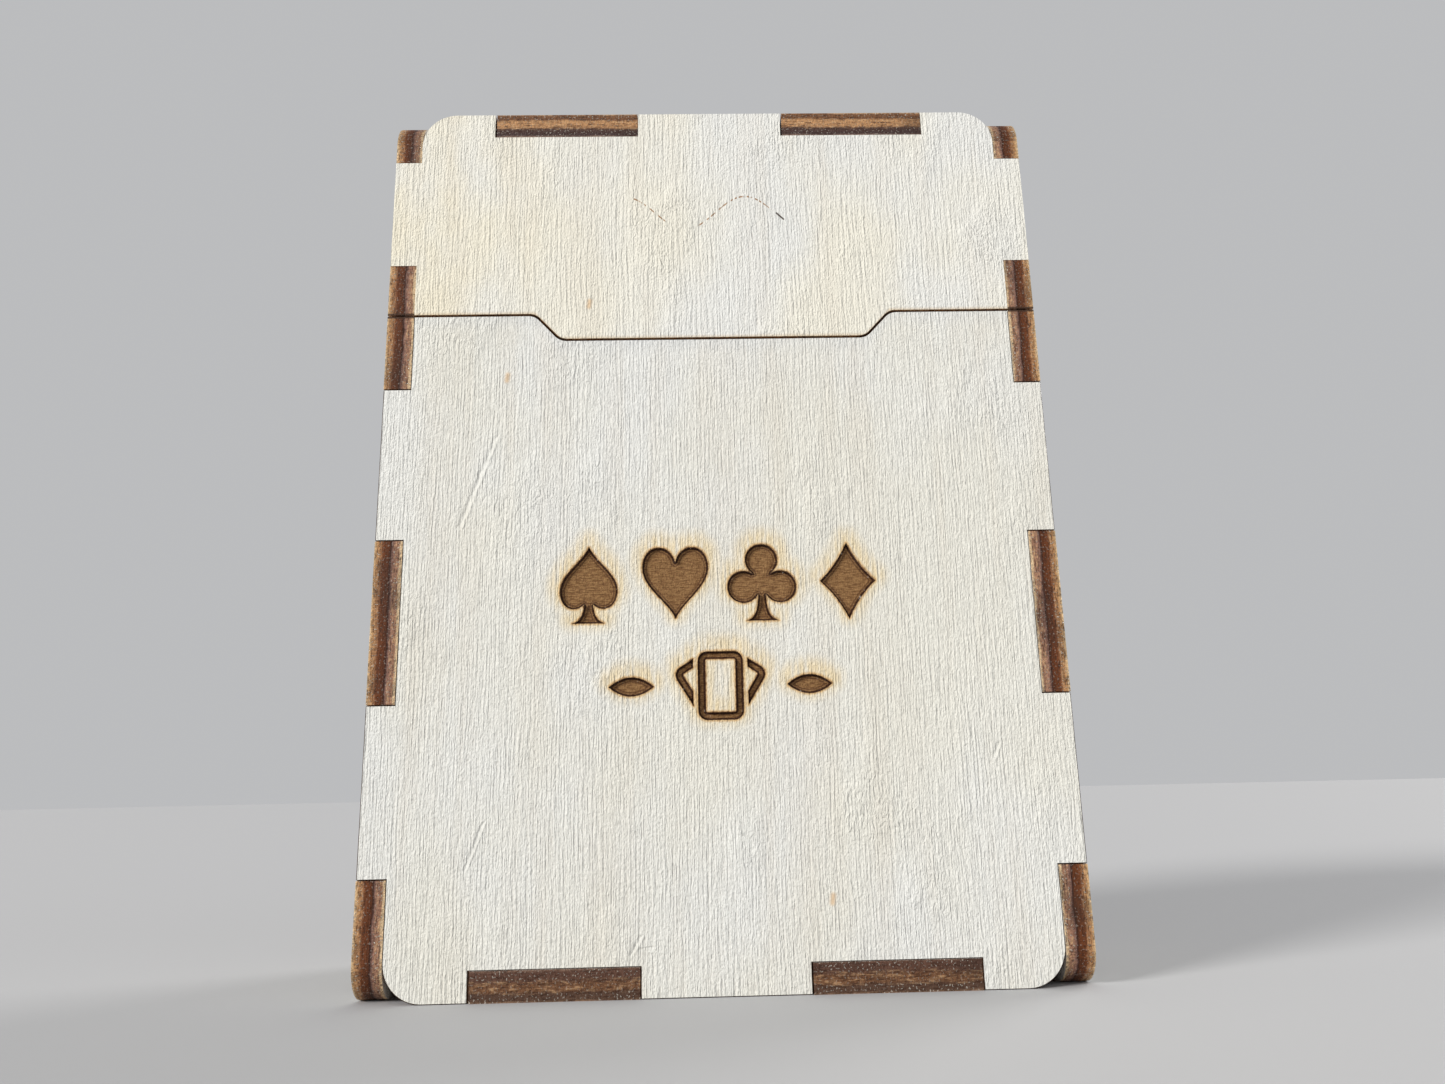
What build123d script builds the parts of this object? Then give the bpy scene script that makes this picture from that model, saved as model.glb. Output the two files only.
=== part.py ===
from build123d import *
import os

# A flip-top card deck box of laser-cut plywood, standing on its bottom, in millimetres.
# X is the width, Y the depth with the front face at -Y, Z the height.
# The origin is the centre of the bottom face.

# Closed box, outside
box_width = 74.0
box_depth = 30.0
box_height = 99.0
ply = 3.0
split_height = 73.0
split_gap = 0.2
corner_radius = 4.0

# Finger joints. Every tab is this much short of its slot, so that the glued joints close.
joint_gap = 0.05
lid_tab_slack = 0.2
body_tab_slack = 0.1
tabs_across = 4
tabs_up_body = 4
lid_side_tab = 6.3

# The lid's front edge comes down in a shallow tongue with a sloping end each side
tongue_drop = 3.1
tongue_top_half = 20.3
tongue_bottom_half = 17.4
tongue_radius = 1.7

# Engraving on the front: a row of four suits over a fan of cards
engrave_depth = 0.4
suit_height = 8.4
suit_pitch = 9.3
suit_row_z = 41.6
fan_row_z = 30.6
card_width = 4.8
card_height = 7.2
card_stroke = 0.8
card_corner = 1.0
side_card_height = 6.4
card_lean = 32.0
leaf_length = 4.8
leaf_reach = 9.4

# Two brass butt hinges on the back, each rolled from sheet round a loose pin
hinge_x = 21.0
hinge_width = 17.0
hinge_sheet = 0.6
hinge_leaf_height = 8.4
hinge_stand_off = 0.1
knuckle_gap = 0.15
pin_radius = 0.5
pin_clearance = 0.04
pin_head_radius = 0.85
pin_head_height = 0.35
nail_x = 5.2
nail_drop = 5.0
nail_radius = 0.5
nail_length = 2.0
nail_head_radius = 1.0
nail_head_height = 0.35
nail_clearance = 0.02

# Worked out from the sizes above
half_width = box_width / 2
half_depth = box_depth / 2
inner_half_width = half_width - ply
inner_half_depth = half_depth - ply
lid_bottom = split_height + split_gap
axis_z = split_height + split_gap / 2
knuckle_bore = pin_radius + pin_clearance
knuckle_radius = knuckle_bore + hinge_sheet
axis_y = half_depth + hinge_stand_off + knuckle_radius
across_pitch = 2 * inner_half_width / tabs_across
up_pitch = (split_height - ply) / tabs_up_body
side_tab_half = inner_half_depth / 2


def area(left, right, low, high):
    """A rectangle between two pairs of coordinates."""
    return Pos((left + right) / 2, (low + high) / 2) * Rectangle(right - left, high - low)


def both_sides(left, right, low, high):
    """The same rectangle on the right and, mirrored, on the left."""
    return area(left, right, low, high) + area(-right, -left, low, high)


def round_corners(shape, across, up, radius):
    """Rounds the outline's corners that lie at this distance across, either side, and this height."""
    corners = [
        corner
        for corner in shape.vertices()
        if abs(abs(corner.X) - across) < 1e-4 and abs(corner.Y - up) < 1e-4
    ]
    return fillet(corners, radius)


# Heights at which the front and back panels reach out to the sides, for the body and for the lid
body_front_tabs = [
    (ply + up_pitch / 2, ply + up_pitch * 3 / 2),
    (ply + up_pitch * 5 / 2, ply + up_pitch * 7 / 2),
]
lid_front_tabs = [(lid_bottom + lid_side_tab - split_gap, box_height - lid_side_tab)]


def side_tabs_between(front_tabs, low, high):
    """The heights left for the side panels by the front panel's tabs."""
    edges = [low] + [edge for tab in front_tabs for edge in tab] + [high]
    return list(zip(edges[0::2], edges[1::2]))


def seam(drop, top_half, bottom_half):
    """The tongue below the seam, as a trapezium hanging from a strip above it."""
    outline = [
        (-top_half, 0),
        (-bottom_half, -drop),
        (bottom_half, -drop),
        (top_half, 0),
    ]
    strip = area(-inner_half_width, inner_half_width, 0, tongue_radius * 2)
    shape = make_face(Polyline(*outline, close=True)) + strip
    shape = round_corners(shape, top_half, 0, tongue_radius)
    return round_corners(shape, bottom_half, -drop, tongue_radius)


def wall(low, high, end, front_tabs):
    """A front or back panel between two heights. end is the height where the bottom or top panel
    meets it."""
    inward = ply if end == low else -ply
    shape = area(-inner_half_width, inner_half_width, low, high)
    shape -= both_sides(
        across_pitch / 2, across_pitch * 3 / 2, min(end, end + inward), max(end, end + inward)
    )
    shape = round_corners(shape, inner_half_width, end, corner_radius)
    for tab_low, tab_high in front_tabs:
        shape += both_sides(
            inner_half_width, half_width, tab_low + joint_gap, tab_high - joint_gap
        )
    return shape


def side(low, high, end, front_tabs):
    """A side panel between two heights. Its tabs fill the spaces between the front panel's."""
    inward = ply if end == low else -ply
    shape = area(-inner_half_depth, inner_half_depth, low, high)
    for tab_low, tab_high in side_tabs_between(front_tabs, low, high):
        shape += both_sides(inner_half_depth, half_depth, tab_low, tab_high)
    shape = round_corners(shape, half_depth, end, corner_radius)
    slot = side_tab_half + joint_gap
    return shape - area(-slot, slot, min(end, end + inward), max(end, end + inward))


def cap(slack):
    """The top or bottom panel, with two tabs to the front, two to the back and one to each side."""
    shape = area(-inner_half_width, inner_half_width, -inner_half_depth, inner_half_depth)
    for up in (-inner_half_depth, inner_half_depth):
        shape = round_corners(shape, inner_half_width, up, corner_radius)
    for start in (-across_pitch * 3 / 2, across_pitch / 2):
        shape += area(
            start + slack,
            start + across_pitch - joint_gap,
            -half_depth,
            half_depth,
        )
    shape += area(-half_width, half_width, -side_tab_half, side_tab_half)
    return shape


def cut_panel(shape, plane):
    """A flat outline cut from the plywood."""
    return extrude(plane * shape, ply)


# The outer faces of the panels, each plane's normal pointing the way the ply is thick
front_plane = Plane.XZ.offset(inner_half_depth)
back_plane = Plane.XZ.offset(-half_depth)
left_plane = Plane.YZ.offset(-half_width)
right_plane = Plane.YZ.offset(inner_half_width)
bottom_plane = Plane.XY
top_plane = Plane.XY.offset(box_height - ply)


def curve_pair(*points):
    """A curve and its mirror image across the upright centre line."""
    return [Bezier(*points), Bezier(*[(-x, y) for x, y in points])]


def heart(high):
    """A heart of this height, standing on its point, centred on the origin."""
    notch = (0, 0.30 * high)
    widest = (0.46 * high, 0.22 * high)
    lower = [(0, -0.5 * high), (0.10 * high, -0.26 * high), (0.46 * high, -0.06 * high), widest]
    upper = [widest, (0.46 * high, 0.60 * high), (0.06 * high, 0.60 * high), notch]
    return make_face(curve_pair(*lower) + curve_pair(*upper))


def stem(high, top):
    """The flared foot under a spade or a club, reaching up to this height."""
    neck = 0.045 * high
    foot = 0.21 * high
    bottom = -0.5 * high
    flare = [(neck, top), (neck, -0.36 * high), (0.08 * high, -0.46 * high), (foot, bottom)]
    ends = [Line((-neck, top), (neck, top)), Line((-foot, bottom), (foot, bottom))]
    return make_face(curve_pair(*flare) + ends)


def spade(high):
    """A spade of this height, centred on the origin."""
    blade = Pos(0, 0.1 * high) * Rot(0, 0, 180) * heart(0.8 * high)
    return blade + stem(high, 0)


def club(high):
    """A club of this height, centred on the origin."""
    lobe = 0.21 * high
    shape = Pos(0, 0.5 * high - lobe) * Circle(lobe) + Pos(0, 0.06 * high) * Circle(0.6 * lobe)
    for side_sign in (-1, 1):
        shape += Pos(side_sign * 0.235 * high, -0.06 * high) * Circle(lobe)
    return shape + stem(high, 0)


def diamond(high):
    """A diamond of this height with slightly hollow sides."""
    corner = (0.36 * high, 0)
    upper = curve_pair((0, 0.5 * high), (0.14 * high, 0.20 * high), corner)
    lower = curve_pair((0, -0.5 * high), (0.14 * high, -0.20 * high), corner)
    return make_face(upper + lower)


def card(high, grow=0.0):
    """A playing card's outline filled in, standing on the origin and grown by this much all round."""
    blank = RectangleRounded(card_width + 2 * grow, high + 2 * grow, card_corner + grow)
    return Pos(0, high / 2) * blank


def card_fan():
    """Three cards fanned out, drawn as outlines. The side cards lean about the front card's lower
    corners."""
    shape = card(card_height) - card(card_height, -card_stroke)
    side_card = card(side_card_height) - card(side_card_height, -card_stroke)
    for side_sign in (-1, 1):
        corner = Pos(side_sign * (card_width / 2 - card_corner), card_corner)
        leaning = corner * Rot(0, 0, -side_sign * card_lean) * corner.inverse() * side_card
        shape += leaning - card(card_height, card_stroke * 0.6)
    return Pos(0, -card_height / 2) * shape


def leaf(length):
    """A slim pointed leaf lying level."""
    tips = [(-length / 2, 0), (length / 2, 0)]
    edges = [Bezier(tips[0], (0, rise * length), tips[1]) for rise in (0.42, -0.42)]
    return make_face(edges)


def engraving():
    """Everything engraved on the front, as one flat drawing."""
    suits = [spade(suit_height), heart(0.92 * suit_height), club(suit_height), diamond(suit_height)]
    shape = Pos(0, fan_row_z) * card_fan()
    for place, suit in enumerate(suits):
        shape += Pos((place - 1.5) * suit_pitch, suit_row_z) * suit
    for side_sign in (-1, 1):
        shape += Pos(side_sign * leaf_reach, fan_row_z) * leaf(leaf_length)
    return shape


def nail_places(up_or_down):
    """Where the two nails of a leaf stand, on the back face, measured from the hinge's middle."""
    height = axis_z + up_or_down * nail_drop
    return [Pos(x, half_depth, height) for x in (-nail_x, nail_x)]


def rod(radius, length):
    """A round bar along X, centred on the origin."""
    return Rot(0, 90, 0) * Cylinder(radius, length)


def shank(radius, start, end):
    """A round bar along Y between two distances out from the back face."""
    return Rot(-90, 0, 0) * Pos(0, 0, (start + end) / 2) * Cylinder(radius, end - start)


def nail_holes(up_or_down, depth):
    """The holes that a leaf's nails need, as deep as this into the panel."""
    hole = shank(nail_radius + nail_clearance, -depth, 2 * hinge_sheet)
    return [
        Pos(side_sign * hinge_x, 0, 0) * place * hole
        for side_sign in (-1, 1)
        for place in nail_places(up_or_down)
    ]


def hinge_leaf(up_or_down, knuckles):
    """One leaf of a hinge. knuckles lists the stretches of the barrel that are rolled from it."""
    clear = knuckle_radius + hinge_stand_off + knuckle_gap
    plate = Box(hinge_width, hinge_sheet, hinge_leaf_height - clear)
    middle = (hinge_leaf_height + clear) / 2
    shape = Pos(0, half_depth + hinge_sheet / 2, axis_z + up_or_down * middle) * plate
    for start, end in knuckles:
        neck = Box(end - start, hinge_sheet, clear)
        centre = (start + end) / 2
        shape += Pos(centre, half_depth + hinge_sheet / 2, axis_z + up_or_down * clear / 2) * neck
        shape += Pos(centre, axis_y, axis_z) * rod(knuckle_radius, end - start)
    shape -= Pos(0, axis_y, axis_z) * rod(knuckle_bore, hinge_width + 2)
    for place in nail_places(up_or_down):
        shape -= place * shank(nail_radius + nail_clearance, -1, 2 * hinge_sheet)
    outer = [
        edge
        for edge in shape.edges().filter_by(Axis.Y)
        if abs(abs(edge.center().Z - axis_z) - hinge_leaf_height) < 1e-4
    ]
    return fillet(outer, 0.8)


def hinge_pin():
    """The loose pin, peened over at both ends."""
    shape = rod(pin_radius, hinge_width + 2 * pin_clearance)
    for side_sign in (-1, 1):
        head = rod(pin_head_radius, pin_head_height)
        offset = hinge_width / 2 + pin_clearance + pin_head_height / 2
        shape += Pos(side_sign * offset, 0, 0) * head
    rims = [edge for edge in shape.edges() if edge.length > 2 * 3.1 * pin_head_radius]
    outer_rims = [edge for edge in rims if abs(edge.center().X) > hinge_width / 2 + pin_head_height]
    shape = fillet(outer_rims, pin_head_height * 0.7)
    return Pos(0, axis_y, axis_z) * shape


def nails(up_or_down):
    """A leaf's two nails, each with a low domed head."""
    rise = nail_head_height
    dome_radius = (nail_head_radius**2 + rise**2) / (2 * rise)
    ball = Pos(0, hinge_sheet + rise - dome_radius, 0) * Sphere(dome_radius)
    slab = shank(nail_head_radius * 2, hinge_sheet, hinge_sheet + rise)
    one = (ball & slab) + shank(nail_radius, -nail_length, hinge_sheet + rise / 4)
    return Compound([place * one for place in nail_places(up_or_down)])


third = (hinge_width - 2 * knuckle_gap) / 3
outer_knuckles = [
    (-hinge_width / 2, -hinge_width / 2 + third),
    (hinge_width / 2 - third, hinge_width / 2),
]
middle_knuckle = [(-third / 2, third / 2)]

ramp_run = tongue_top_half - tongue_bottom_half
ramp_length = (ramp_run**2 + tongue_drop**2) ** 0.5
ramp_shift = split_gap * (ramp_length - ramp_run) / tongue_drop

body_tongue_space = Pos(0, split_height) * seam(tongue_drop, tongue_top_half, tongue_bottom_half)
lid_tongue = Pos(0, lid_bottom) * seam(
    tongue_drop, tongue_top_half - ramp_shift, tongue_bottom_half - ramp_shift
)

body_wall = wall(0, split_height, 0, body_front_tabs)
lid_wall = wall(lid_bottom, box_height, box_height, lid_front_tabs)
body_side = side(0, split_height, 0, body_front_tabs)
lid_side = side(lid_bottom, box_height, box_height, lid_front_tabs)

body_front = cut_panel(body_wall - body_tongue_space, front_plane)
body_front -= extrude(front_plane.offset(ply) * engraving(), -engrave_depth)
body_back = cut_panel(body_wall, back_plane)
lid_back = cut_panel(lid_wall, back_plane)
hole_depth = nail_length + nail_clearance
for hole in nail_holes(-1, hole_depth):
    body_back -= hole
for hole in nail_holes(1, hole_depth):
    lid_back -= hole

nodes = {
    "body_front_panel": body_front,
    "body_back_panel": body_back,
    "body_left_panel": cut_panel(body_side, left_plane),
    "body_right_panel": cut_panel(body_side, right_plane),
    "body_bottom_panel": cut_panel(cap(body_tab_slack), bottom_plane),
    "lid_front_panel": cut_panel(lid_wall + lid_tongue, front_plane),
    "lid_back_panel": lid_back,
    "lid_left_panel": cut_panel(lid_side, left_plane),
    "lid_right_panel": cut_panel(lid_side, right_plane),
    "lid_top_panel": cut_panel(cap(lid_tab_slack), top_plane),
}
for name, side_sign in (("left", -1), ("right", 1)):
    place = Pos(side_sign * hinge_x, 0, 0)
    nodes[f"{name}_hinge_body_leaf"] = place * hinge_leaf(-1, outer_knuckles)
    nodes[f"{name}_hinge_lid_leaf"] = place * hinge_leaf(1, middle_knuckle)
    nodes[f"{name}_hinge_pin"] = place * hinge_pin()
    nodes[f"{name}_hinge_body_nails"] = place * nails(-1)
    nodes[f"{name}_hinge_lid_nails"] = place * nails(1)

os.makedirs("parts", exist_ok=True)
for node_name, shape in nodes.items():
    export_step(shape, f"parts/{node_name}.step")
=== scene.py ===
import bmesh
import bpy
import math
from collections import defaultdict
from mathutils import Euler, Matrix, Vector
from mathutils.geometry import delaunay_2d_cdt
from mathutils.kdtree import KDTree


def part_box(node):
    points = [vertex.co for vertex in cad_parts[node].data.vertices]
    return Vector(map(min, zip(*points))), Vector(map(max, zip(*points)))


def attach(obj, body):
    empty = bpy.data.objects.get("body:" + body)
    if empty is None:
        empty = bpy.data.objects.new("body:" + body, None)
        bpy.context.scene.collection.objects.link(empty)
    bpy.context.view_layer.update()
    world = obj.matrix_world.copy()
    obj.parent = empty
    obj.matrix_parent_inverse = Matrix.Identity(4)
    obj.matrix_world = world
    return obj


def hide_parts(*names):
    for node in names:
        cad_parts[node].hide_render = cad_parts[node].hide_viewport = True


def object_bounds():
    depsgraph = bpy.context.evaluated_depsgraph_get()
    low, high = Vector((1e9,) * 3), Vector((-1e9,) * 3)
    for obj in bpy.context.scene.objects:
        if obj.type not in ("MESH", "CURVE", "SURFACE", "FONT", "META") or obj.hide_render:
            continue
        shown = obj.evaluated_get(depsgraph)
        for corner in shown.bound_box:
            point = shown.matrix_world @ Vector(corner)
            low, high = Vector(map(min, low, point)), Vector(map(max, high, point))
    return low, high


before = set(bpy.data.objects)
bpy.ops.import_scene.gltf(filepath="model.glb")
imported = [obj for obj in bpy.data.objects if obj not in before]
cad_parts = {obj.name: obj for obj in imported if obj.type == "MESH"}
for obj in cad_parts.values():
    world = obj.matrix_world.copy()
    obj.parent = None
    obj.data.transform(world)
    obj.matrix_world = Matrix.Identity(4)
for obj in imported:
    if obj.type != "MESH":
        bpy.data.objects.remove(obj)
cad_low, cad_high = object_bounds()

# Lengths that the materials work with are in millimetres, because grain is read at that scale.
MM = 0.001
X, Y, Z = 0, 1, 2

# Each panel: the axis across its thickness, the side its outer face is on, and the axis its grain follows
PANEL_AXES = {
    "front": (Y, -1, Z),
    "back": (Y, 1, Z),
    "left": (X, -1, Z),
    "right": (X, 1, Z),
    "top": (Z, 1, X),
    "bottom": (Z, -1, X),
}
PLY = 3.0
FLAT_ANGLE = math.radians(1)
SHARP_ANGLE = math.radians(40)

# How squarely a surface must face across its panel to count as face, and as bevelled rim, not as cut edge
FACE_SQUARENESS = 0.9
RIM_SQUARENESS = 0.3

# The seam between the lid and the body, and its tongue
SPLIT_HEIGHT = 73.1
TONGUE_BOTTOM, TONGUE_TOP, TONGUE_DROP = 17.4, 20.3, 3.1

# The bevel on the engraved panel, the only piece that has one
EDGE_WIDTH = 0.10 * MM

# The engraving: how deep, in mm, counts as its floor, and how far round it edges stay unbevelled
SUNK = 0.2
PLANE_SLACK = 0.1
DEEPEST = 1.0
RIM_MARGIN = 1.0 * MM

# The scorch round the engraving: how far small triangles reach, their size, and how far smoke drifted
HALO = 2.6 * MM
GRID = 0.45 * MM
SMOKE_RISE = 0.55 * MM

# Rings of points beside its outline, in mm, how much nearer one may be to another part of the outline, how
# far off the grid of points starts, and the distance that stands for far away
OUTLINE_SPACING = 0.15 * MM
RINGS = (-0.62, -0.42, -0.27, -0.15, 0.15, 0.27, 0.42, 0.62)
RING_SLACK = 0.92
GRID_START = 0.8
FAR = 9.0

# For the triangulation: triangles inside the outline only, and how close two points are one
INSIDE_OUTLINE = 1
SAME_POINT = 1e-6
WELD = 1e-7

# The faint wavy burn on the lid: its peak, half its length and half its height
WAVE_PEAK = (4.0, 87.9)
WAVE_HALF = 7.0
WAVE_SWING = 2.1
TICK = ((7.7, 85.7), (8.5, 84.9))

# Scratches and torn grain on the body's front: start, end and width
SCRATCHES = [
    ((-24.4, 58.3), (-28.0, 48.2), 0.40),
    ((-24.5, 17.0), (-26.2, 12.6), 0.30),
    ((-9.4, 4.3), (-8.5, 5.8), 0.32),
    ((-8.5, 4.6), (-7.3, 4.7), 0.30),
    ((28.3, 22.7), (28.8, 23.9), 0.35),
]
# The tan specks' places
BODY_SPECKS = ((-23.3, 65.4), (10.8, 8.9))
LID_SPECKS = ((-14.2, 74.3),)

# The veneer's colours
COOL_VENEER = (0.805, 0.80, 0.76)
BODY_WARMTH = (0.80, 0.78, 0.70)
LID_WARMTH = (0.84, 0.805, 0.695)
LID_LEFT = (0.86, 0.74, 0.48)
TAN_STRIPE = (0.70, 0.62, 0.50)
# Painted shade: the grain's valleys, the lowest of its height, are darkened with this colour
VALLEY_SHADE = (0.50, 0.42, 0.32)
THREAD_SHADOW = (0.48, 0.40, 0.30)
SPECK = (0.68, 0.44, 0.22)
# Painted shade: a cool grey band just under the seam, as if shaded by the lid's edge
SHADE_BELOW_SEAM = (0.66, 0.68, 0.70)
SEAM_SCORCH = (0.60, 0.42, 0.22)
BURN_LINE = (0.34, 0.17, 0.07)
TICK_INK = (0.05, 0.03, 0.02)

# The cut edges' colours, besides their plies
CHAR = (0.055, 0.027, 0.015)
DARK_FLECK = (0.050, 0.020, 0.010)
PALE_FLECK = (0.74, 0.46, 0.24)
SMUDGE = (0.050, 0.020, 0.012)
DARK_GRAIN = (0.045, 0.018, 0.010)
SOOT = (0.040, 0.022, 0.016)
GLINT = (0.62, 0.56, 0.48)

# The engraving's colours, from the outer scorch to its floor
SMOKE_STAIN = (0.80, 0.60, 0.28)
ORANGE_SCORCH = (0.62, 0.36, 0.12)
BURNT_RIM = (0.12, 0.045, 0.018)
FLOOR_DARK = (0.190, 0.092, 0.034)
FLOOR_PALE = (0.35, 0.195, 0.080)
FLOOR_WEAVE = (0.13, 0.055, 0.024)
SECOND_LINE = (0.075, 0.028, 0.013)
FLOOR_RIM = (0.036, 0.012, 0.006)
FLOOR_GLINT = (0.60, 0.54, 0.48)

# Brass: what is left of each channel where it is tarnished, and the colour of its pits
TARNISH = (0.58, 0.47, 0.34)
PIT = (0.16, 0.09, 0.04)

# A cut edge's colours from the outer face, at 0, to the inner face, at 1: on the upright panels, and on
# the top and bottom, whose plies run the other way. The bottom is scorched the most.
PLIES = [
    (0.00, (0.88, 0.66, 0.40)),
    (0.06, (0.66, 0.40, 0.19)),
    (0.11, (0.50, 0.260, 0.110)),
    (0.25, (0.38, 0.175, 0.078)),
    (0.32, (0.175, 0.054, 0.017)),
    (0.54, (0.120, 0.034, 0.010)),
    (0.60, (0.040, 0.014, 0.009)),
    (0.65, (0.25, 0.135, 0.105)),
    (0.72, (0.36, 0.185, 0.125)),
    (0.89, (0.38, 0.200, 0.120)),
    (0.94, (0.82, 0.600, 0.360)),
]
TOP_PLIES = [
    (0.00, (0.66, 0.42, 0.24)),
    (0.05, (0.26, 0.125, 0.060)),
    (0.22, (0.19, 0.085, 0.040)),
    (0.32, (0.57, 0.300, 0.135)),
    (0.58, (0.51, 0.265, 0.120)),
    (0.66, (0.095, 0.050, 0.038)),
    (0.92, (0.065, 0.040, 0.040)),
    (1.00, (0.30, 0.200, 0.150)),
]
BOTTOM_PLIES = [
    (0.00, (0.30, 0.180, 0.110)),
    (0.06, (0.120, 0.066, 0.042)),
    (0.26, (0.105, 0.056, 0.036)),
    (0.36, (0.190, 0.086, 0.040)),
    (0.56, (0.175, 0.080, 0.038)),
    (0.66, (0.125, 0.060, 0.038)),
    (0.94, (0.125, 0.062, 0.042)),
    (1.00, (0.22, 0.130, 0.090)),
]

# Each light: its name, where it shines from, its strength, how wide it looks in degrees, and its colour
LIGHTS = [
    ("key", (-0.80, -0.54, 0.42), 2.98, 18, (1.0, 0.985, 0.96)),
    ("fill", (0.65, -0.60, 0.40), 0.35, 60, (0.94, 0.97, 1.0)),
    ("rear", (0.80, 0.58, 0.42), 1.6, 30, (1.0, 0.98, 0.96)),
]
FLOOR_HALF = 4.0
FLOOR_COLOUR = (0.475, 0.475, 0.48, 1.0)
SKY_COLOUR = (0.50, 0.505, 0.515, 1.0)


class Shader:
    """Builds one material's nodes. Each method returns the socket that holds its result."""

    def __init__(self, name):
        self.material = bpy.data.materials.new(name)
        self.material.use_nodes = True
        self.tree = self.material.node_tree
        self.surface = self.tree.nodes["Principled BSDF"]

    def set(self, socket, value):
        """Links a socket to another, or gives it a constant."""
        if isinstance(value, bpy.types.NodeSocket):
            self.tree.links.new(value, socket)
        elif value is not None:
            socket.default_value = value

    def node(self, kind, **values):
        """A node with its input sockets set by name, underscores for spaces."""
        made = self.tree.nodes.new("ShaderNode" + kind)
        for name, value in values.items():
            self.set(made.inputs[name.replace("_", " ")], value)
        return made

    def math(self, operation, first, second=None):
        made = self.tree.nodes.new("ShaderNodeMath")
        made.operation = operation
        for socket, value in zip(made.inputs, (first, second)):
            self.set(socket, value)
        return made.outputs[0]

    def add(self, *terms):
        total = terms[0]
        for term in terms[1:]:
            total = self.math("ADD", total, term)
        return total

    def minus(self, first, second):
        return self.math("SUBTRACT", first, second)

    def times(self, *factors):
        total = factors[0]
        for factor in factors[1:]:
            total = self.math("MULTIPLY", total, factor)
        return total

    def absolute(self, value):
        return self.math("ABSOLUTE", value)

    def fade(self, value, low, high, start=0.0, end=1.0, smooth=True):
        """Goes from start to end as value goes from low to high."""
        made = self.tree.nodes.new("ShaderNodeMapRange")
        made.interpolation_type = "SMOOTHSTEP" if smooth else "LINEAR"
        for socket, given in zip(made.inputs, (value, low, high, start, end)):
            self.set(socket, given)
        return made.outputs[0]

    def mix(self, factor, first, second):
        """A colour between two, each a socket or (r, g, b)."""
        made = self.tree.nodes.new("ShaderNodeMix")
        made.data_type = "RGBA"
        self.set(made.inputs[0], factor)
        for socket, value in ((made.inputs[6], first), (made.inputs[7], second)):
            self.set(socket, (*value, 1.0) if isinstance(value, tuple) else value)
        return made.outputs[2]

    def blend(self, factor, first, second):
        """A number between two."""
        made = self.tree.nodes.new("ShaderNodeMix")
        self.set(made.inputs[0], factor)
        self.set(made.inputs[2], first)
        self.set(made.inputs[3], second)
        return made.outputs[0]

    def point(self, x, y, z):
        return self.node("CombineXYZ", X=x, Y=y, Z=z).outputs[0]

    def noise(self, place, detail=2, roughness=0.5, distortion=0.0):
        return self.node(
            "TexNoise",
            Vector=place,
            Scale=1.0,
            Detail=detail,
            Roughness=roughness,
            Distortion=distortion,
        ).outputs[0]

    def pattern(self, lengths, rates, seed=None, detail=2, roughness=0.5, distortion=0.0):
        """Noise over two or three lengths, each with its own rate of change per mm. The seed is the third
        coordinate of two lengths, and moves the third of three."""
        parts = [self.times(length, rate) for length, rate in zip(lengths, rates)]
        if len(parts) == 2:
            parts.append(seed)
        elif seed is not None:
            parts[2] = self.add(parts[2], seed)
        return self.noise(self.point(*parts), detail, roughness, distortion)

    def ramp(self, value, stops):
        """A colour from a list of (position, (r, g, b))."""
        made = self.node("ValToRGB", Fac=value)
        elements = made.color_ramp.elements
        while len(elements) < len(stops):
            elements.new(0.5)
        for element, (position, colour) in zip(elements, stops):
            element.position = position
            element.color = (*colour, 1.0)
        return made.outputs[0]

    def attribute(self, name):
        """A number that the mesh carries on each vertex."""
        made = self.tree.nodes.new("ShaderNodeAttribute")
        made.attribute_name = name
        return made.outputs["Fac"]

    def places(self):
        """The object coordinates in millimetres, as three sockets."""
        coordinates = self.tree.nodes.new("ShaderNodeTexCoord")
        split = self.node("SeparateXYZ", Vector=coordinates.outputs["Object"])
        return [self.times(part, 1 / MM) for part in split.outputs]

    def facing(self):
        """How much the surface faces along each of the object's axes, from 0 to 1."""
        coordinates = self.tree.nodes.new("ShaderNodeTexCoord")
        split = self.node("SeparateXYZ", Vector=coordinates.outputs["Normal"])
        return [self.absolute(part) for part in split.outputs]

    def bump(self, height, distance):
        """Sets the surface's normal from a height of 0 to 1, worth this many millimetres."""
        made = self.node("Bump", Height=height, Distance=distance * MM, Strength=1.0)
        self.set(self.surface.inputs["Normal"], made.outputs[0])


def veneer_grain(shader, across, along, seed, pitch):
    """The veneer's fine raised grain: a comb of fibres, thinner strands and threads, and torn spots.
    Returns the wandering place across the grain, the threads and the height."""
    place = (across, along)
    wander = shader.pattern(place, (0.08, 0.04), seed)
    bent = shader.add(across, shader.times(wander, 0.8))
    jitter = shader.pattern(place, (1.3, 0.16), seed + 5, roughness=0.6)
    jittered = shader.add(bent, shader.times(jitter, 1.1))
    comb = shader.math("SINE", shader.times(jittered, 2 * math.pi / pitch))
    strands = shader.pattern((bent, along), (2.6 / pitch, 0.17), seed + 3, roughness=0.6)
    threads = shader.pattern((bent, along), (3.4 / pitch, 0.8), seed + 8, roughness=0.6)
    fuzz = shader.pattern(place, (5.5, 3.4), seed + 21, detail=1)
    torn = shader.pattern(place, (1.5, 0.55), seed + 27, detail=1, distortion=2.2)
    where_torn = shader.fade(shader.pattern(place, (0.13, 0.08), seed + 33), 0.52, 0.66)
    height = shader.add(
        shader.times(shader.add(comb, 1.0), 0.08),
        shader.times(strands, 0.80),
        shader.times(threads, 0.65),
        shader.times(fuzz, 0.55),
        shader.times(torn, where_torn, 1.1),
    )
    return bent, threads, height


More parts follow.
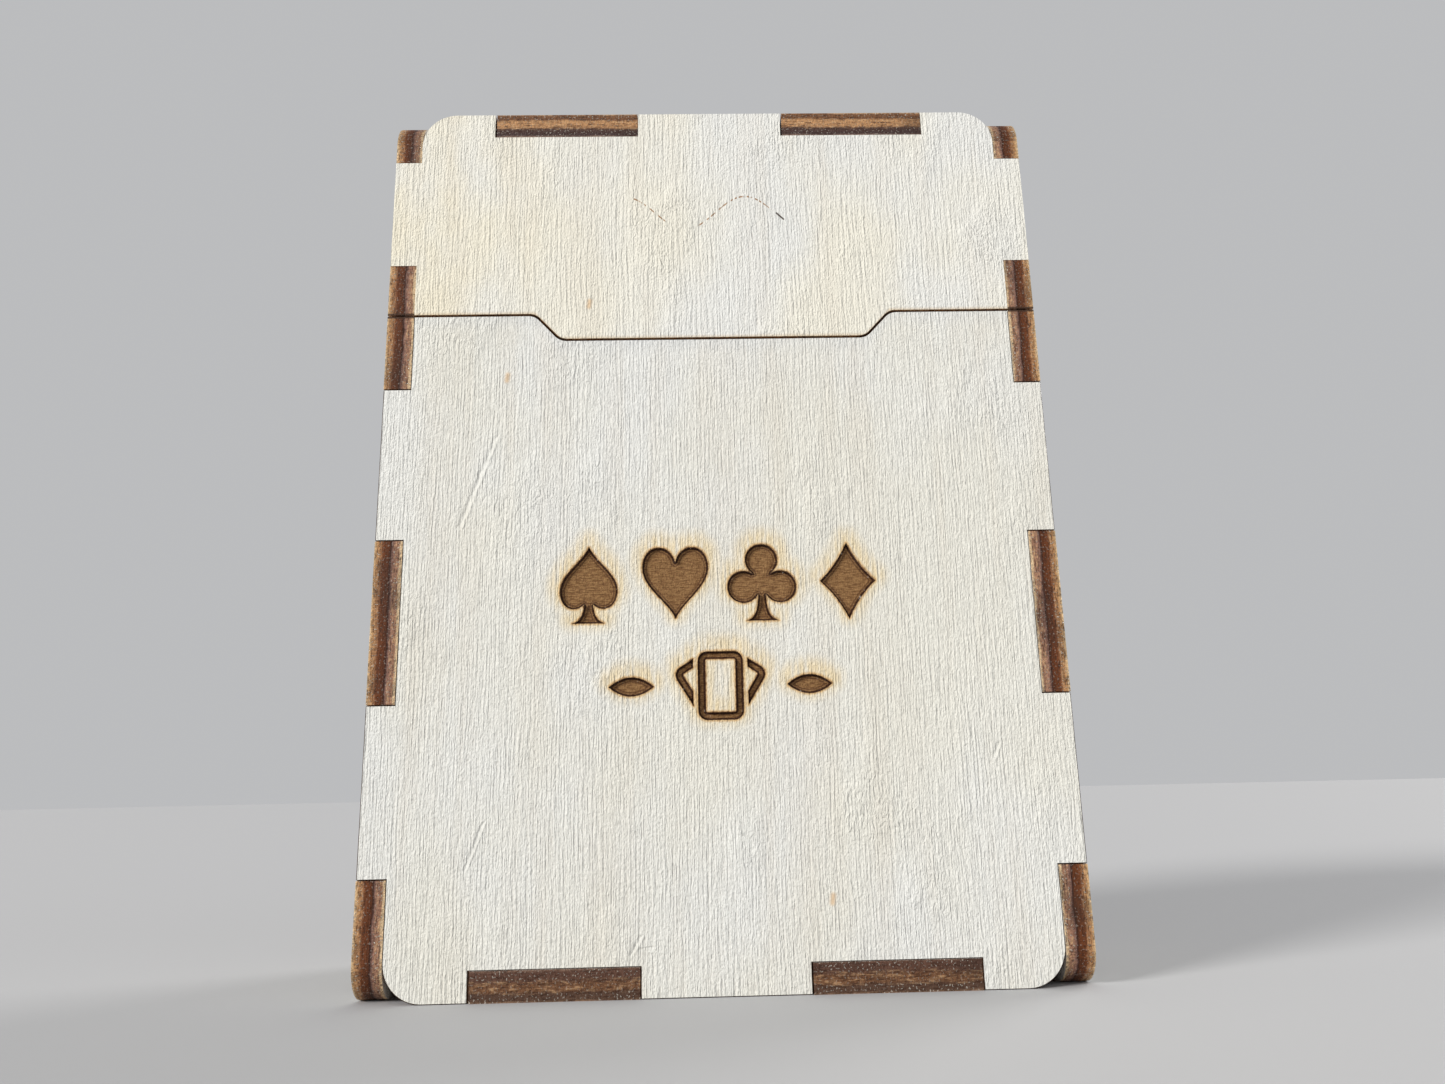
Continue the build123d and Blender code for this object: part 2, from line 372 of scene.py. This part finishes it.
def veneer(shader, across, along, seed, warmth, pitch):
    """The pale face of the plywood: raised grain, a few tan stripes, painted shade in the grain's valleys
    and between its threads, warm and cool patches.
    Returns its colour and its height, both before anything that marks one panel only."""
    bent, threads, height = veneer_grain(shader, across, along, seed, pitch)
    patches = shader.pattern((across, along), (0.06, 0.035), seed + 11)
    stripes = shader.pattern((bent, along), (0.35, 0.02), seed + 17)
    colour = shader.mix(shader.fade(patches, 0.35, 0.65), COOL_VENEER, warmth)
    colour = shader.mix(shader.fade(stripes, 0.42, 0.75, 0.0, 0.20), colour, TAN_STRIPE)
    # Painted shade in the grain's valleys, then between its threads
    colour = shader.mix(shader.fade(height, 0.72, 1.05, 0.12, 0.0), colour, VALLEY_SHADE)
    colour = shader.mix(shader.fade(threads, 0.30, 0.44, 0.05, 0.0), colour, THREAD_SHADOW)
    return colour, height


def burnt_edge(shader, across, along, depth, facing_along, seed, palette):
    """What the laser cut: plies of different browns, with flecks, smudges, soot and glints of melted resin.
    Returns its colour, its roughness and its height."""
    run = shader.add(
        shader.times(across, facing_along), shader.times(along, shader.minus(1.0, facing_along))
    )
    place = (across, along, depth)
    wobble = shader.pattern((run, depth), (0.30, 0.2), seed + 2.3)
    wavy_depth = shader.add(depth, shader.times(shader.add(wobble, -0.5), 0.55))
    ply = shader.math("DIVIDE", wavy_depth, PLY)
    flecks = shader.pattern((run, depth), (0.9, 5.0), seed + 5.9, 3, 0.65, 0.3)
    blotches = shader.pattern((run, depth), (1.1, 2.2), seed + 9.1, 3, 0.7, 0.5)
    sooty = shader.pattern((run, depth), (0.16, 0.3), seed + 31)
    grain = shader.pattern(place, (4.5, 4.5, 3), roughness=0.7)
    grit = shader.pattern(place, (4.4, 4.4, 4.4), detail=1)

    # Pale flecks lie off the dark core of the upright panels, and on the orange core of the top and bottom.
    off_core = shader.fade(shader.absolute(shader.add(ply, -0.47)), 0.18, 0.26)
    where_pale = off_core if palette is PLIES else shader.minus(1.0, off_core)
    pale_strength = 0.40 if palette is BOTTOM_PLIES else 0.65
    pale_spots = shader.math(
        "MAXIMUM", shader.fade(flecks, 0.54, 0.62), shader.fade(blotches, 0.54, 0.62, 0.0, 0.4)
    )
    wet = shader.times(off_core, shader.fade(sooty, 0.34, 0.56))
    glint = shader.times(shader.fade(grit, 0.60, 0.66), shader.add(0.35, shader.times(wet, 0.65)))

    colour = shader.ramp(ply, palette)
    colour = shader.mix(shader.fade(flecks, 0.37, 0.45, 0.75, 0.0), colour, DARK_FLECK)
    colour = shader.mix(shader.times(pale_spots, pale_strength, where_pale), colour, PALE_FLECK)
    colour = shader.mix(shader.fade(blotches, 0.34, 0.42, 0.50, 0.0), colour, SMUDGE)
    colour = shader.mix(shader.fade(grain, 0.40, 0.60, 0.36, 0.0), colour, DARK_GRAIN)
    colour = shader.mix(shader.fade(sooty, 0.50, 0.68, 0.0, 0.45), colour, SOOT)
    colour = shader.mix(shader.times(glint, 0.60), colour, GLINT)
    roughness = shader.minus(0.58, shader.add(shader.times(glint, 0.35), shader.times(wet, 0.18)))
    height = shader.add(shader.times(flecks, 0.6), shader.times(grain, 0.7), shader.times(glint, 0.5))
    return colour, roughness, height


def from_line(shader, across, along, start, end):
    """The distance in mm from a straight mark between two points, each (across, along)."""
    reach = (end[0] - start[0], end[1] - start[1])
    length = math.hypot(*reach)
    unit = (reach[0] / length, reach[1] / length)
    right = shader.add(across, -start[0])
    up = shader.add(along, -start[1])
    travelled = shader.add(shader.times(right, unit[0]), shader.times(up, unit[1]))
    aside = shader.minus(shader.times(right, unit[1]), shader.times(up, unit[0]))
    from_middle = shader.absolute(shader.add(travelled, -length / 2))
    past_end = shader.math("MAXIMUM", shader.minus(from_middle, length / 2), 0.0)
    squares = shader.add(shader.times(aside, aside), shader.times(past_end, past_end))
    return shader.math("SQRT", squares)


def scratched(shader, across, along, height, start, end, width):
    """A shallow groove with a raised lip on its right, pressed into the face's height."""
    groove = shader.fade(from_line(shader, across, along, start, end), 0.0, width, 1.0, 0.0)
    lip_start, lip_end = [(point[0] + width * 0.9, point[1]) for point in (start, end)]
    lip = shader.fade(from_line(shader, across, along, lip_start, lip_end), 0.0, width * 0.7, 1.0, 0.0)
    return shader.add(height, shader.times(groove, -0.5), shader.times(lip, 0.30))


def specks(shader, across, along, colour, places):
    """Small tan flecks in the veneer, long along the grain."""
    for x, z in places:
        off = from_line(shader, across, along, (x, z - 0.3), (x + 0.1, z + 0.4))
        colour = shader.mix(shader.fade(off, 0.0, 0.50, 0.70, 0.0), colour, SPECK)
    return colour


def above_seam(shader, across, along):
    """How far above the seam a point of the front is, in mm, below it as a negative."""
    aside = shader.absolute(across)
    dip = shader.fade(aside, TONGUE_BOTTOM, TONGUE_TOP, -TONGUE_DROP, 0.0, smooth=False)
    return shader.minus(along, shader.add(SPLIT_HEIGHT, dip))


def engraved_floor(shader, across, along, reach, burn, ragged):
    """The engraving's brown floor, with dark lines along its outline. Returns its colour and its height."""
    scan = shader.pattern((across, along), (1.1, 6.5), 2.0, roughness=0.7)
    weave = shader.pattern((across, along), (6.0, 2.0), 6.0, roughness=0.7)
    second_line = shader.fade(shader.absolute(shader.add(reach, -0.42)), 0.03, 0.12, 0.62, 0.0)
    glints = shader.times(shader.fade(ragged, 0.66, 0.70), shader.fade(burn, 0.05, 0.5, 0.8, 0.0))
    tone = shader.mix(shader.fade(scan, 0.36, 0.62), FLOOR_DARK, FLOOR_PALE)
    tone = shader.mix(shader.fade(weave, 0.32, 0.5, 0.5, 0.0), tone, FLOOR_WEAVE)
    tone = shader.mix(second_line, tone, SECOND_LINE)
    tone = shader.mix(shader.fade(reach, 0.16, 0.30, 0.95, 0.0), tone, FLOOR_RIM)
    tone = shader.mix(glints, tone, FLOOR_GLINT)
    height = shader.add(shader.times(scan, 0.9), shader.times(weave, 0.6), shader.times(ragged, 0.4))
    return tone, height


def engraved_face(shader, across, along, depth, colour, roughness, height):
    """The body's front: the engraving, its scorch and smoke, tan specks, old scratches and a painted shade
    under the seam.
    """
    burn = shader.attribute("burn")
    smoke = shader.attribute("smoke")
    ragged = shader.pattern((across, along), (2.2, 2.2), 4.0, detail=3, roughness=0.6)
    streaks = shader.pattern((across, along), (2.4, 0.3), 9.0)
    for start, end, width in SCRATCHES:
        height = scratched(shader, across, along, height, start, end, width)
    colour = specks(shader, across, along, colour, BODY_SPECKS)
    # Painted shade: the face darkens to a cool grey over the 2.5 mm under the seam
    below_seam = shader.times(above_seam(shader, across, along), -1.0)
    colour = shader.mix(shader.fade(below_seam, 0.0, 2.5, 0.30, 0.0), colour, SHADE_BELOW_SEAM)

    haze = shader.times(shader.fade(smoke, 0.1, 2.1, 1.0, 0.0), shader.fade(streaks, 0.25, 0.65, 0.35, 1.0))
    colour = shader.mix(shader.times(haze, 0.62), colour, SMOKE_STAIN)
    reach = shader.add(burn, shader.times(shader.add(ragged, -0.5), 0.22))
    colour = shader.mix(shader.fade(reach, 0.02, 0.34, 0.85, 0.0), colour, ORANGE_SCORCH)
    colour = shader.mix(shader.fade(reach, 0.01, 0.13, 0.95, 0.0), colour, BURNT_RIM)

    floor_tone, floor_height = engraved_floor(shader, across, along, reach, burn, ragged)
    floor_roughness = shader.fade(burn, 0.1, 0.6, 0.35, 0.62)
    sunk = shader.math("GREATER_THAN", depth, SUNK)
    return (
        shader.mix(sunk, colour, floor_tone),
        shader.blend(sunk, roughness, floor_roughness),
        shader.blend(sunk, height, floor_height),
    )


def burn_line(shader, across, along):
    """How strongly the lid's faint broken wave is burnt in."""
    phase = shader.times(shader.add(across, -WAVE_PEAK[0]), math.pi / WAVE_HALF)
    swing = shader.times(shader.math("COSINE", phase), WAVE_SWING)
    off = shader.absolute(shader.minus(along, shader.add(WAVE_PEAK[1] - WAVE_SWING, swing)))
    span = shader.times(shader.fade(across, -9.6, -9.2), shader.fade(across, 6.9, 7.3, 1.0, 0.0))
    gap = shader.fade(shader.absolute(shader.add(across, 3.4)), 1.8, 2.1)
    broken = shader.noise(shader.point(shader.times(across, 2.1), 3.0, 7.0), detail=1)
    dashes = shader.fade(broken, 0.44, 0.54)
    return shader.times(span, gap, dashes, shader.fade(off, 0.04, 0.15, 0.95, 0.0))


def lid_face(shader, across, along, depth, colour, roughness, height):
    """The lid's front: a warmer left side, a tan scorch along the seam and a faint broken burn line.
    It takes and returns what engraved_face does, though the depth plays no part."""
    left_side = shader.fade(across, -37.0, -8.0, 1.0, 0.0)
    mottled = shader.fade(shader.pattern((across, along), (0.16, 0.10), 5), 0.3, 0.7)
    colour = shader.mix(shader.times(left_side, mottled, 0.38), colour, LID_LEFT)
    colour = specks(shader, across, along, colour, LID_SPECKS)
    scorch = shader.fade(above_seam(shader, across, along), 0.0, 0.55, 0.55, 0.0)
    colour = shader.mix(scorch, colour, SEAM_SCORCH)
    colour = shader.mix(burn_line(shader, across, along), colour, BURN_LINE)
    tick = from_line(shader, across, along, *TICK)
    colour = shader.mix(shader.fade(tick, 0.06, 0.14, 0.95, 0.0), colour, TICK_INK)
    return colour, roughness, height


def plywood(node, warmth, pitch, seed, marks=None):
    """A panel's material: veneer on its faces, burnt plies on what the laser cut. The marks, if any, are a
    function that changes the outer face's colour, roughness and height."""
    side = node.split("_")[1]
    thickness, outside, grain = PANEL_AXES[side]
    sideways = X + Y + Z - thickness - grain
    low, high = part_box(node)
    outer = (high if outside > 0 else low)[thickness] / MM
    shader = Shader(node + "_plywood")
    places = shader.places()
    facing = shader.facing()
    across, along = places[sideways], places[grain]
    depth = shader.times(shader.minus(outer, places[thickness]), outside)
    colour, height = veneer(shader, across, along, seed, warmth, pitch)
    roughness = shader.fade(height, 0.6, 1.2, 0.74, 0.58)
    if marks:
        marked = marks(shader, across, along, depth, colour, roughness, height)
        outward = shader.math("LESS_THAN", depth, PLY / 2)
        colour = shader.mix(outward, colour, marked[0])
        roughness = shader.blend(outward, roughness, marked[1])
        height = shader.blend(outward, height, marked[2])
    palette = {"top": TOP_PLIES, "bottom": BOTTOM_PLIES}.get(side, PLIES)
    edge_colour, edge_roughness, edge_height = burnt_edge(
        shader, across, along, depth, facing[grain], seed, palette
    )
    if grain == Z:
        # Char and painted shade: the upright cut edges darken within about 0.4 mm of the seam, for the
        # burnt cut and for the shade in its gap
        from_seam = shader.absolute(shader.add(along, -SPLIT_HEIGHT))
        upright = shader.minus(1.0, facing[Z])
        seam_char_and_shade = shader.times(shader.fade(from_seam, 0.18, 0.42, 0.95, 0.0), upright)
        edge_colour = shader.mix(seam_char_and_shade, edge_colour, CHAR)
    is_rim = shader.math("GREATER_THAN", facing[thickness], RIM_SQUARENESS)
    edge_colour = shader.mix(is_rim, edge_colour, CHAR)
    is_face = shader.math("GREATER_THAN", facing[thickness], FACE_SQUARENESS)
    shader.set(shader.surface.inputs["Base Color"], shader.mix(is_face, edge_colour, colour))
    shader.set(shader.surface.inputs["Roughness"], shader.blend(is_face, edge_roughness, roughness))
    shader.bump(shader.blend(is_face, edge_height, height), 0.24)
    shader.surface.inputs["Specular IOR Level"].default_value = 0.15
    return shader.material


def brass(name, tint, roughness, seed, brushed=0.016):
    """Rolled sheet or drawn wire: fine lines along X, dull brownish patches, pits and small scuffs."""
    shader = Shader(name)
    places = shader.places()
    lines = shader.pattern(places, (0.22, 7, 7), detail=3, roughness=0.7)
    scuffs = shader.pattern(places, (2.6, 0.9, 0.7), seed, roughness=0.6)
    patches = shader.pattern(places, (0.22, 0.3, 0.3), seed, detail=5, roughness=0.7)
    pits = shader.pattern(places, (3.4, 3.4, 3.4), detail=1)
    dull = shader.fade(patches, 0.44, 0.66)
    pitted = shader.fade(pits, 0.66, 0.71)
    tarnish = tuple(channel * left for channel, left in zip(tint, TARNISH))
    colour = shader.mix(shader.times(dull, 0.45), tint, tarnish)
    colour = shader.mix(shader.fade(lines, 0.36, 0.58, 0.30, 0.0), colour, tarnish)
    colour = shader.mix(shader.times(pitted, 0.6), colour, PIT)
    varied_roughness = shader.add(
        roughness - 0.08,
        shader.times(dull, 0.18),
        shader.times(lines, 0.16),
        shader.times(pitted, 0.20),
        shader.fade(scuffs, 0.60, 0.70, 0.0, 0.12),
    )
    height = shader.add(lines, shader.times(scuffs, 0.35), shader.times(pitted, -0.5))
    shader.set(shader.surface.inputs["Base Color"], colour)
    shader.set(shader.surface.inputs["Roughness"], varied_roughness)
    shader.surface.inputs["Metallic"].default_value = 1.0
    shader.bump(height, brushed)
    return shader.material


def join_flat_faces(piece):
    """Joins a CAD piece's triangles where they lie in one plane. Its edges stay as sharp as in the CAD."""
    flat = piece.modifiers.new("flat", "DECIMATE")
    flat.decimate_type = "DISSOLVE"
    flat.angle_limit = FLAT_ANGLE


def unique(items):
    """The items without repeats, in the order they come. A set's order would change from run to run."""
    return list(dict.fromkeys(items))


def outline_edges(faces):
    """The edges along the outline of some faces."""
    inside = set(faces)
    edges = unique(edge for face in faces for edge in face.edges)
    return [edge for edge in edges if not inside.issuperset(edge.link_faces)]


def outline_samples(faces, spacing):
    """Points evenly along the outline of some flat faces, each with the outline's sideways direction."""
    samples = []
    for edge in outline_edges(faces):
        start, end = [Vector((vertex.co.x, vertex.co.z)) for vertex in edge.verts]
        run = end - start
        sideways = Vector((-run.y, run.x)).normalized()
        count = max(1, math.ceil(run.length / spacing))
        samples += [(start + run * (index + 0.5) / count, sideways) for index in range(count)]
    return samples


def sides_of(triangle):
    """A triangle's three sides, each an unordered pair of corners."""
    return [frozenset(pair) for pair in zip(triangle, triangle[1:] + triangle[:1])]


def kept_triangles(triangles, fixed):
    """The triangles inside an outline but not inside one of its holes: from each triangle on the outside
    edge inwards, every outline that is crossed changes one to the other."""
    touching = defaultdict(list)
    for number, triangle in enumerate(triangles):
        for side in sides_of(triangle):
            touching[side].append(number)
    kept = {numbers[0]: True for numbers in touching.values() if len(numbers) == 1}
    waiting = list(kept)
    while waiting:
        number = waiting.pop()
        for side in sides_of(triangles[number]):
            for other in touching[side]:
                if other not in kept:
                    kept[other] = kept[number] != (side in fixed)
                    waiting.append(other)
    return [triangle for number, triangle in enumerate(triangles) if kept[number]]


def retriangulate(mesh, faces, level, extra_points):
    """Replaces flat faces at y = level by small triangles that also pass through the extra points."""
    corners = unique(vertex for face in faces for vertex in face.verts)
    number = {vertex: index for index, vertex in enumerate(corners)}
    outline = [[number[vertex] for vertex in edge.verts] for edge in outline_edges(faces)]
    points = [Vector((vertex.co.x, vertex.co.z)) / MM for vertex in corners]
    points += [point / MM for point in extra_points]
    coords, edges, triangles, origins, sources, _ = delaunay_2d_cdt(
        points, outline, [], INSIDE_OUTLINE, SAME_POINT
    )
    fixed = {frozenset(edge) for edge, source in zip(edges, sources) if source}
    bmesh.ops.delete(mesh, geom=faces, context="FACES_ONLY")
    made = {}
    for triangle in kept_triangles(triangles, fixed):
        for index in triangle:
            if index not in made:
                old = [origin for origin in origins[index] if origin < len(corners)]
                place = (coords[index].x * MM, level, coords[index].y * MM)
                made[index] = corners[old[0]] if old else mesh.verts.new(place)
        mesh.faces.new([made[index] for index in triangle])
    loose = [edge for edge in mesh.edges if not edge.link_faces]
    bmesh.ops.delete(mesh, geom=loose, context="EDGES")


def forward_faces(mesh, front, low, high):
    """The faces that look forward from between two depths, in mm, behind the front."""
    return [
        face
        for face in mesh.faces
        if face.normal.y < -0.999 and low * MM < face.calc_center_median().y - front < high * MM
    ]


def whole_mesh(node):
    """A CAD node's mesh, with its flat faces in one piece again."""
    mesh = bmesh.new()
    mesh.from_mesh(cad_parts[node].data)
    bmesh.ops.remove_doubles(mesh, verts=mesh.verts, dist=WELD)
    bmesh.ops.dissolve_limit(mesh, angle_limit=FLAT_ANGLE, verts=mesh.verts, edges=mesh.edges)
    return mesh


def bevel_outside(mesh, lows, highs):
    """Bevels the sharp edges, apart from the engraving's, which lie in the box of these X and Z."""

    def ornamental(place):
        return all(
            low - RIM_MARGIN < place[axis] < high + RIM_MARGIN
            for axis, low, high in zip((X, Z), lows, highs)
        )

    sharp = [
        edge
        for edge in mesh.edges
        if edge.is_convex
        and edge.calc_face_angle(0) > SHARP_ANGLE
        and not all(ornamental(vertex.co) for vertex in edge.verts)
    ]
    bmesh.ops.bevel(mesh, geom=sharp, offset=EDGE_WIDTH, segments=1, profile=0.5, affect="EDGES")


def gap(tree, x, z):
    """How far a point of the front is from the nearest engraved outline, in mm."""
    return tree.find((x, z, 0))[2] / MM


def fine_points(samples, tree, lows, highs):
    """Points in rings beside the engraved outline, then in a grid round and between its figures."""
    extra = []
    for point, sideways in samples:
        for offset in RINGS:
            place = point + sideways * offset * MM
            if gap(tree, *place) > RING_SLACK * abs(offset):
                extra.append(place)
    columns, rows = [math.ceil((high - low + 2 * HALO) / GRID) for low, high in zip(lows, highs)]
    for column in range(columns + 1):
        for row in range(rows + 1):
            place = Vector((lows[0] - HALO + column * GRID, lows[1] - HALO + row * GRID))
            if gap(tree, *place) > GRID_START:
                extra.append(place)
    return extra


def engraved_panel(node):
    """The body's front panel again, with small triangles round the engraving and, on each vertex, how
    far it is from the nearest engraved outline ("burn") and from one's rising smoke ("smoke"), in mm."""
    mesh = whole_mesh(node)
    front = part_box(node)[0].y
    pocket_faces = forward_faces(mesh, front, PLANE_SLACK, DEEPEST)
    corners = [vertex.co for face in pocket_faces for vertex in face.verts]
    lows = [min(corner[axis] for corner in corners) for axis in (X, Z)]
    highs = [max(corner[axis] for corner in corners) for axis in (X, Z)]
    bevel_outside(mesh, lows, highs)

    face_plane = forward_faces(mesh, front, -PLANE_SLACK, PLANE_SLACK)
    floor_plane = forward_faces(mesh, front, PLANE_SLACK, DEEPEST)
    floor_level = floor_plane[0].calc_center_median().y
    samples = outline_samples(floor_plane, OUTLINE_SPACING)
    tree = KDTree(len(samples))
    for index, (point, _) in enumerate(samples):
        tree.insert((point.x, point.y, 0), index)
    tree.balance()
    extra = fine_points(samples, tree, lows, highs)
    retriangulate(mesh, face_plane, front, extra)
    retriangulate(mesh, floor_plane, floor_level, extra)

    burn = mesh.verts.layers.float.new("burn")
    smoke = mesh.verts.layers.float.new("smoke")
    for vertex in mesh.verts:
        x, y, z = vertex.co
        near_front = y < front + DEEPEST * MM
        vertex[burn] = gap(tree, x, z) if near_front else FAR
        vertex[smoke] = gap(tree, x, z - SMOKE_RISE) if near_front else FAR
    made = bpy.data.meshes.new("engraved_front")
    mesh.to_mesh(made)
    mesh.free()
    piece = bpy.data.objects.new("engraved_front", made)
    bpy.context.scene.collection.objects.link(piece)
    return piece


def dress(node, material):
    """Gives a CAD node its material."""
    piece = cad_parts[node]
    piece.data.materials.clear()
    piece.data.materials.append(material)


def soft_light(name, towards, strength, spread, colour):
    """A distant light from the given direction, as wide as a studio softbox looks."""
    data = bpy.data.lights.new(name, "SUN")
    data.energy = strength
    data.angle = math.radians(spread)
    data.color = colour
    light = bpy.data.objects.new(name, data)
    light.rotation_euler = Vector(towards).to_track_quat("Z", "Y").to_euler()
    bpy.context.scene.collection.objects.link(light)


# Camera: level with the lower part of the front face, looking up it from close by
camera = bpy.data.objects.new("camera", bpy.data.cameras.new("camera"))
bpy.context.scene.collection.objects.link(camera)
camera.data.sensor_width = 36.0
camera.data.lens = 26.0
camera.data.clip_start = 0.005
camera.location = (-0.0022, -0.1253, 0.0200)
camera.rotation_euler = Euler([math.radians(angle) for angle in (103.3, 1.23, -1.12)])
bpy.context.scene.camera = camera

# Panels: each with its own seed, and the fibres' pitch in mm, which is finer on the body
ENGRAVED = "body_front_panel"
MARKS = {ENGRAVED: engraved_face, "lid_front_panel": lid_face}
SEED_STEP = 13.7
for place, node in enumerate(sorted(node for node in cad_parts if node.endswith("_panel"))):
    warmth, pitch = (LID_WARMTH, 0.60) if node.startswith("lid") else (BODY_WARMTH, 0.47)
    material = plywood(node, warmth, pitch, place * SEED_STEP, MARKS.get(node))
    dress(node, material)
    if node == ENGRAVED:
        piece = engraved_panel(node)
        piece.data.materials.append(material)
        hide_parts(node)
        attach(piece, "box_body")
    else:
        join_flat_faces(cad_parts[node])

# Hinges
leaf_brass = brass("hinge_brass", (0.76, 0.55, 0.25), 0.30, 3.0)
pin_brass = brass("pin_brass", (0.70, 0.50, 0.22), 0.26, 8.0)
nail_brass = brass("nail_brass", (0.84, 0.66, 0.36), 0.20, 5.0, brushed=0.004)
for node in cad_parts:
    if node.endswith("_leaf"):
        dress(node, leaf_brass)
        join_flat_faces(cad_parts[node])
    elif node.endswith("_pin"):
        dress(node, pin_brass)
    elif node.endswith("_nails"):
        dress(node, nail_brass)

# Floor
floor_mesh = bpy.data.meshes.new("floor")
floor_corners = [(x * FLOOR_HALF, y * FLOOR_HALF, 0) for x, y in ((-1, -1), (1, -1), (1, 1), (-1, 1))]
floor_mesh.from_pydata(floor_corners, [], [(0, 1, 2, 3)])
floor = bpy.data.objects.new("floor", floor_mesh)
bpy.context.scene.collection.objects.link(floor)
floor_shader = Shader("floor")
floor_shader.surface.inputs["Base Color"].default_value = FLOOR_COLOUR
floor_shader.surface.inputs["Roughness"].default_value = 0.85
floor_shader.surface.inputs["Specular IOR Level"].default_value = 0.1
floor_mesh.materials.append(floor_shader.material)
floor.location.z = cad_low.z

# Lights and world
for light in LIGHTS:
    soft_light(*light)
world = bpy.data.worlds.new("world")
world.use_nodes = True
world.node_tree.nodes["Background"].inputs["Color"].default_value = SKY_COLOUR
bpy.context.scene.world = world
bpy.context.scene.view_settings.view_transform = "Standard"
